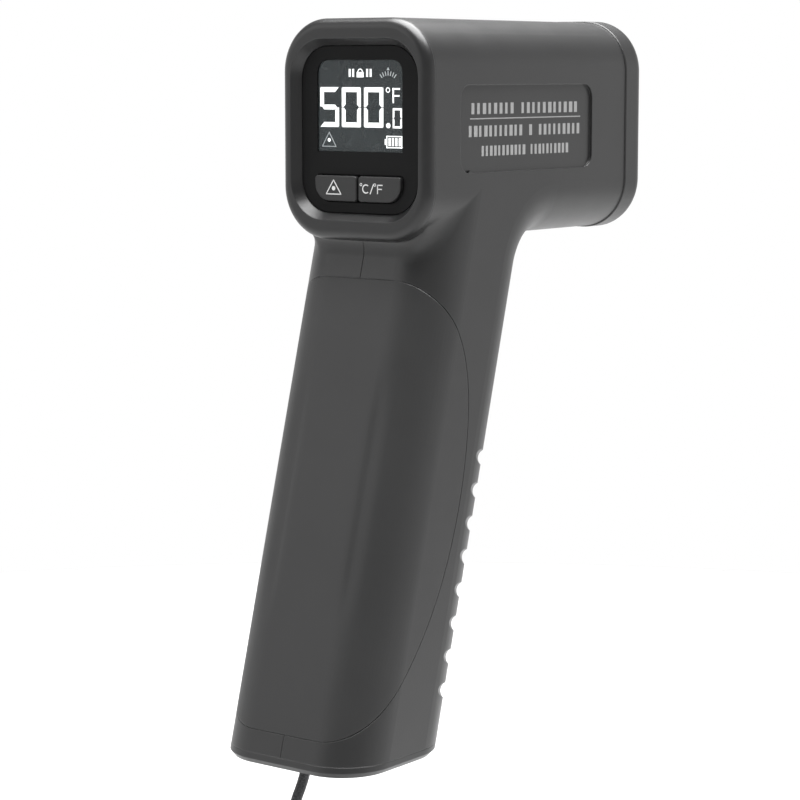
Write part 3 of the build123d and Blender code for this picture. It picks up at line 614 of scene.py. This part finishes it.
def neck_fairing(side):
    """Skin over the valley between barrel and handle, on one side of the mould seam."""
    valley, out = valley_line()
    skin = soft_skin(valley, out)
    normal = slope_of(neck_distance, skin)
    hard = np.minimum(barrel_distance(skin), handle_distance(skin))
    # its rim sinks just under the housing, so that no edge shows
    lift = np.clip(hard / RIM_FADE, 0, 1) * 2 * RIM_SINK - RIM_SINK
    skin = skin + normal * lift[:, None]
    points = ahead_of_bezel(np.concatenate([skin, skin - normal * FAIRING_T]))
    faces = sheet_faces(len(valley), FAIRING_COLS)
    if side < 0:
        points[:, 0] *= -1
        normal = normal * np.array([-1, 1, 1])
    else:
        faces = [tuple(reversed(f)) for f in faces]
    obj = new_object("neck_fairing_" + ("right" if side > 0 else "left"), points.tolist(), faces)
    shading = bmesh.new()
    shading.from_mesh(obj.data)
    bmesh.ops.recalc_face_normals(shading, faces=shading.faces)
    shading.to_mesh(obj.data)
    shading.free()
    obj.data.normals_split_custom_set_from_vertices(np.concatenate([normal, -normal]).tolist())
    paint(obj, looks["body"])
    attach(obj, "body")


CREASE_X = 10.9                    # from the door's middle line
CREASE_W = 1.5                     # towards the middle
CREASE_W_OUT = 1.6 * CREASE_W      # towards the side, where it runs out more gently
CREASE_DEPTH = 0.42
CREASE_TOP, CREASE_LOW, CREASE_FADE = 22.0, -26.0, 16.0
CUT_FROM, CUT_TO, CUT_STEP = -4.0, 6.01, 0.5            # fine cuts either side of a crease
LEVEL_FROM, LEVEL_TO, LEVEL_STEP = -38.0, 34.1, 3.0     # cuts along the handle
SKIN_NEAR = 0.02                   # a point this close to the handle's outline is on the outside
REAR_DEPTH = -6.0                  # and this far back it is on the rear face
SHARP_EDGE = math.radians(30)


def crease_at(x, level):
    """How far the door's rear skin is sunk at this place."""
    along = smooth_step((CREASE_TOP + CREASE_FADE / 2 - level) / CREASE_FADE)
    along *= smooth_step((level - CREASE_LOW + CREASE_FADE / 2) / CREASE_FADE)
    off = np.abs(x) - CREASE_X
    width = np.where(off > 0, CREASE_W_OUT, CREASE_W)
    return CREASE_DEPTH * along * np.exp(-((off / width) ** 2))


def door_skin(source):
    """The battery door with a soft crease down each side of its rear face."""
    obj = link(bpy.data.objects.new("door_skin", source.data.copy()))
    work = bmesh.new()
    work.from_mesh(obj.data)
    cuts = []
    for side in (-1, 1):
        for off in np.arange(CUT_FROM, CUT_TO, CUT_STEP):
            cuts.append(((side * (CREASE_X + off) * MM, 0, 0), (1, 0, 0)))
    axis = Vector(GRIP_AXIS)
    for level in np.arange(LEVEL_FROM, LEVEL_TO, LEVEL_STEP):
        cuts.append((tuple(axis * level * MM), tuple(axis)))
    for point, normal in cuts:
        geom = work.verts[:] + work.edges[:] + work.faces[:]
        bmesh.ops.bisect_plane(work, geom=geom, dist=1e-7, plane_co=point, plane_no=normal)
    back = Vector((0, -math.cos(RAKE), math.sin(RAKE)))
    for vert in work.verts:
        p = np.array(vert.co) / MM
        x, depth, level = handle_coords(p)
        if abs(handle_distance(p)) < SKIN_NEAR and depth < REAR_DEPTH:
            vert.co -= back * float(crease_at(x, level)) * MM
    work.to_mesh(obj.data)
    work.free()
    obj.data.shade_smooth()
    obj.data.set_sharp_from_angle(angle=SHARP_EDGE)
    paint(obj, looks["door"])
    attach(obj, "door")
    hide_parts("battery_door")


for side in (-1, 1):
    neck_fairing(side)
door_skin(nodes["battery_door"])


# ---- flat shapes: display, key marks, label -----------------------------------------
INK_T = 0.03                       # thickness of every printed or lit mark
LINE_END = 0.35                    # a stroke in a path runs on by this share of its width


def polar(x, z, reach, angle):
    return x + reach * math.cos(angle), z + reach * math.sin(angle)


class Marks:
    """Thin flat shapes gathered in one mesh. Points are (across, up) in millimetres."""

    def __init__(self):
        self.loops = []

    def shape(self, points):
        self.loops.append([tuple(p) for p in points])

    def bar(self, x0, z0, x1, z1):
        self.shape([(x0, z0), (x1, z0), (x1, z1), (x0, z1)])

    def stroke(self, start, end, width):
        run = Vector((end[0] - start[0], end[1] - start[1])).normalized()
        off = Vector((-run.y, run.x)) * width / 2
        a, b = Vector(start), Vector(end)
        self.shape([a - off, b - off, b + off, a + off])

    def path(self, points, width, close=False):
        ends = points[1:] + ([points[0]] if close else [])
        for start, end in zip(points, ends):
            run = (Vector(end) - Vector(start)).normalized() * width * LINE_END
            self.stroke(Vector(start) - run, Vector(end) + run, width)

    def arc(self, x, z, radius, width, start=0.0, stop=360.0, steps=24):
        angles = [math.radians(start + (stop - start) * i / steps) for i in range(steps + 1)]
        inner, outer = radius - width / 2, radius + width / 2
        for a, b in zip(angles, angles[1:]):
            ring = ((inner, a), (outer, a), (outer, b), (inner, b))
            self.shape([polar(x, z, reach, angle) for reach, angle in ring])

    def disc(self, x, z, radius, steps=20):
        self.shape([polar(x, z, radius, 2 * math.pi * i / steps) for i in range(steps)])

    def build(self, name, place, mat, body):
        """place turns (across, up, out) in millimetres into a point of the frame."""
        points, faces = [], []
        for loop in self.loops:
            area = sum(a[0] * b[1] - b[0] * a[1] for a, b in zip(loop, loop[1:] + loop[:1]))
            ring = loop if area > 0 else loop[::-1]
            base, count = len(points), len(ring)
            points += [place(p[0], p[1], 0.0) for p in ring] + [place(p[0], p[1], INK_T) for p in ring]
            faces.append(tuple(base + count + i for i in range(count)))
            faces.append(tuple(base + i for i in reversed(range(count))))
            for i in range(count):
                j = (i + 1) % count
                faces.append((base + i, base + j, base + count + j, base + count + i))
        obj = new_object(name, points, faces, smooth=False)
        paint(obj, mat)
        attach(obj, body)


def on_rear(node, lift):
    """Placement on the rear face of a node, in the frame's own across and up."""
    face_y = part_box(node)[0][1] / MM - lift
    return lambda x, z, out: (x, face_y - out, z)


window_low, window_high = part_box("display_window")
WINDOW_Z = (window_low[2] + window_high[2]) / 2 / MM
SEVEN = {"0": "abcdef", "5": "afgcd"}


def seven_segment(marks, digit, x0, z0, width, height, thick, gap):
    """One digit with mitred segments."""
    x1, z1, mid = x0 + width, z0 + height, z0 + height / 2
    h, g = thick / 2, gap
    across = {"a": (z1, -1), "d": (z0, 1)}
    for key in SEVEN[digit]:
        if key in across:
            z, inward = across[key]
            tip = z + inward * thick
            marks.shape([(x0 + g, z), (x1 - g, z), (x1 - thick - g, tip), (x0 + thick + g, tip)])
        elif key == "g":
            marks.shape([
                (x0 + h + g, mid), (x0 + thick + g, mid + h), (x1 - thick - g, mid + h),
                (x1 - h - g, mid), (x1 - thick - g, mid - h), (x0 + thick + g, mid - h),
            ])
        else:
            x, inward = (x0, 1) if key in "ef" else (x1, -1)
            end, up = (z1, -1) if key in "bf" else (z0, 1)
            marks.shape([
                (x, end + up * g), (x, mid - up * g), (x + inward * h, mid - up * g),
                (x + inward * thick, mid - up * (g + h)), (x + inward * thick, end + up * (g + thick)),
            ])


def plain_triangle(marks, x, z, width, height, line):
    """Outline of a triangle about a point."""
    foot, top = z - height / 2, z + height / 2
    marks.path([(x - width / 2, foot), (x + width / 2, foot), (x, top)], line, close=True)


DIGIT_LEFT = (("5", -11.6), ("0", -5.3), ("0", 1.1))
BIG_DIGIT = {"width": 5.5, "height": 9.0, "thick": 1.1, "gap": 0.08}
SMALL_DIGIT = {"width": 2.6, "height": 4.5, "thick": 0.48, "gap": 0.05}
LCD_LIFT = 0.02                    # the marks stand this far off the display's face
CELLS = 4                          # in the battery sign
CELL_PITCH, CELL_W = 0.96, 0.62
TICKS = 7                          # in the fan
FAN_FROM, FAN_SWEEP = 50, 80       # degrees


def display_marks():
    z = WINDOW_Z
    lit = Marks()
    for digit, left in DIGIT_LEFT:
        seven_segment(lit, digit, left, z - 4.8, **BIG_DIGIT)
    lit.disc(8.0, z - 4.3, 0.6)
    seven_segment(lit, "0", 9.25, z - 4.9, **SMALL_DIGIT)
    # degree sign and unit
    lit.arc(7.9, z + 3.6, 0.5, 0.24)
    lit.bar(9.2, z + 0.7, 9.6, z + 4.05)
    lit.bar(9.2, z + 3.65, 11.3, z + 4.05)
    lit.bar(9.2, z + 2.15, 11.2, z + 2.5)
    # a padlock between two bars stands for a held reading
    lit.bar(-1.0, z + 6.4, 1.0, z + 7.6)
    lit.arc(0.0, z + 7.6, 0.65, 0.26, 0, 180, 12)
    for side in (-1, 1):
        for step in range(2):
            x = side * (2.0 + step * 1.0)
            lit.bar(x - 0.28, z + 6.5, x + 0.28, z + 8.3)
    # battery with all its cells full
    lit.path([(7.6, z - 9.2), (11.8, z - 9.2), (11.8, z - 6.7), (7.6, z - 6.7)], 0.26, close=True)
    lit.bar(7.0, z - 8.6, 7.5, z - 7.3)
    for cell in range(CELLS):
        x = 8.05 + cell * CELL_PITCH
        lit.bar(x, z - 8.85, x + CELL_W, z - 7.05)
    lit.disc(-9.0, z - 7.75, 0.42)
    lit.build("display_digits", on_rear("lcd_module", LCD_LIFT), looks["digits"], "body")
    dim = Marks()
    plain_triangle(dim, -9.0, z - 7.6, 4.0, 3.2, 0.2)
    # small fan of ticks under a pointer
    for tick in range(TICKS):
        angle = math.radians(FAN_FROM + tick * FAN_SWEEP / (TICKS - 1))
        tip = (7.95 + 3.6 * math.cos(angle), z + 4.7 + 3.1 * math.sin(angle))
        root = (7.95 + 2.6 * math.cos(angle), z + 4.7 + 2.1 * math.sin(angle))
        dim.stroke(root, tip, 0.24)
    dim.shape([(7.55, z + 8.0), (8.35, z + 8.0), (7.95, z + 8.7)])
    dim.build("display_symbols", on_rear("lcd_module", LCD_LIFT), looks["dim"], "body")


def key_marks():
    key_z = sum(c[2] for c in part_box("unit_button")) / 2 / MM
    spot = Marks()
    plain_triangle(spot, -6.8, key_z + 0.3, 4.3, 3.2, 0.24)
    spot.disc(-6.8, key_z, 0.5)
    spot.build("laser_key_mark", on_rear("laser_button", 0.0), looks["print"], "laser_key")
    unit = Marks()
    low, high = key_z - 0.95, key_z + 1.15
    mid = (low + high) / 2
    unit.arc(1.15, high - 0.1, 0.28, 0.16, steps=14)
    unit.arc(2.55, mid, 0.92, 0.26, 48, 312, 18)
    unit.stroke((3.75, low - 0.1), (4.75, high + 0.1), 0.24)
    unit.arc(5.1, high - 0.1, 0.28, 0.16, steps=14)
    unit.bar(5.75, low, 6.0, high)
    unit.bar(5.75, high - 0.25, 7.3, high)
    unit.bar(5.75, mid - 0.1, 7.1, mid + 0.14)
    unit.build("unit_key_mark", on_rear("unit_button", 0.0), looks["print"], "unit_key")


LABEL_SINK = 0.6                   # depth of the recess
LABEL_MIDDLE = (7.8 + 54.8) / 2    # half way along it
LABEL_ROWS = (                     # height of the row's middle over the axis, its height, width and words
    (4.75, 2.5, 44.0, (8, 11)), (-0.35, 2.5, 46.0, (11, 1, 9)), (-4.85, 2.3, 36.0, (11, 10)),
)
RULE_HALF, RULE_LOW, RULE_HIGH = 22.5, 2.35, 2.6
BAR_SHARE = (0.42, 0.68)           # of the pitch, least and most
LABEL_SEED = 7


def label_marks(side):
    """Rows of plain printed dashes and a rule, in the shallow recess on one side."""
    draw = random.Random(LABEL_SEED)
    ink = Marks()
    for rise, height, width, words in LABEL_ROWS:
        z = AXIS_Z + rise
        pitch = width / (sum(words) + len(words) - 1)
        y = LABEL_MIDDLE - width / 2
        for word in words:
            for _ in range(word):
                wide = pitch * draw.uniform(*BAR_SHARE)
                ink.bar(y, z - height / 2, y + wide, z + height / 2)
                y += pitch
            y += pitch
    ink.bar(LABEL_MIDDLE - RULE_HALF, AXIS_Z + RULE_LOW, LABEL_MIDDLE + RULE_HALF, AXIS_Z + RULE_HIGH)
    if side < 0:
        ink.loops = [[(2 * LABEL_MIDDLE - p[0], p[1]) for p in loop] for loop in ink.loops]

    def place(y, z, out):
        return side * (HALF_W - LABEL_SINK + out), y, z

    name = "label_print_right" if side > 0 else "label_print_left"
    ink.build(name, place, looks["label"], "body")


display_marks()
key_marks()
for side in (-1, 1):
    label_marks(side)

# ---- stage --------------------------------------------------------------------------
FLOOR_Z = -0.165
FLOOR_R = 0.75
FLOOR_SIDES = 96
FLOOR_GREY = (0.42, 0.42, 0.42)
FLOOR_GLOW = 0.15
floor_points = [
    (*polar(0, 0, FLOOR_R / MM, 2 * math.pi * i / FLOOR_SIDES), FLOOR_Z / MM) for i in range(FLOOR_SIDES)
]
floor = new_object("floor", floor_points, [tuple(range(FLOOR_SIDES))], smooth=False)
floor_mat, _, floor_shader = new_material("floor_pale", FLOOR_GREY, roughness=0.9)
floor_shader.inputs["Emission Color"].default_value = (*WHITE, 1)
floor_shader.inputs["Emission Strength"].default_value = FLOOR_GLOW
floor.data.materials.append(floor_mat)

DIM_FROM, DIM_TO = 0.58, 0.70      # heights in the sky, where 0.5 is the horizon and 1 overhead
OVERHEAD = 0.28                    # brightness above that
SHADY_FROM, SHADY_TO = 0.35, 0.85  # agreement with the camera's side, where the shady stretch grows
SHADY = (0.5, 0.5, 0.5)

world = bpy.data.worlds.new("studio")
world.use_nodes = True
sky = world.node_tree
background = sky.nodes["Background"]
background.inputs["Strength"].default_value = 1.0
direction = sky.nodes.new("ShaderNodeTexCoord")
parts = sky.nodes.new("ShaderNodeSeparateXYZ")
sky.links.new(direction.outputs["Generated"], parts.inputs["Vector"])
# white at and below the horizon, dimmer overhead, so that dark plastic keeps its shading
height_ramp = sky.nodes.new("ShaderNodeValToRGB")
stops = height_ramp.color_ramp.elements
stops[0].position = DIM_FROM
stops[0].color = (*WHITE, 1)
stops[1].position = DIM_TO
stops[1].color = (OVERHEAD, OVERHEAD, OVERHEAD, 1)
sky.links.new(spread(sky, parts.outputs["Z"], 0.0, 1.0, -1.0, 1.0), height_ramp.inputs["Fac"])
# a shady stretch on the camera's side, so that corners turned that way read as darker bands
flat = sky.nodes.new("ShaderNodeVectorMath")
flat.operation = "DOT_PRODUCT"
flat.inputs[1].default_value = (math.sin(AZIMUTH), -math.cos(AZIMUTH), 0.0)
sky.links.new(direction.outputs["Generated"], flat.inputs[0])
shady_mask = spread(sky, flat.outputs["Value"], 0.0, 1.0, SHADY_FROM, SHADY_TO)
shaded = blend_color(sky, shady_mask, WHITE, SHADY)
product = sky.nodes.new("ShaderNodeMix")
product.data_type = "RGBA"
product.blend_type = "MULTIPLY"
product.inputs[0].default_value = 1.0
sky.links.new(height_ramp.outputs["Color"], product.inputs[6])
sky.links.new(shaded, product.inputs[7])
sky.links.new(product.outputs[2], background.inputs["Color"])
bpy.context.scene.world = world


def area_light(name, at, target, size, power):
    """Rectangular lamp turned to its target, in metres and watts."""
    data = bpy.data.lights.new(name, "AREA")
    data.shape = "RECTANGLE"
    data.size = size[0]
    data.size_y = size[1]
    data.energy = power
    lamp = link(bpy.data.objects.new(name, data))
    facing = (Vector(target) - Vector(at)).to_track_quat("-Z", "Y")
    lamp.matrix_world = Matrix.Translation(Vector(at)) @ facing.to_matrix().to_4x4()


area_light("top_box", at=(0.05, 0.15, 1.1), target=(0, 0.03, 0), size=(1.2, 1.2), power=68.0)
area_light("rear_box", at=(-0.78, -1.0, 0.70), target=(0, 0, 0), size=(1.3, 0.7), power=3.5)
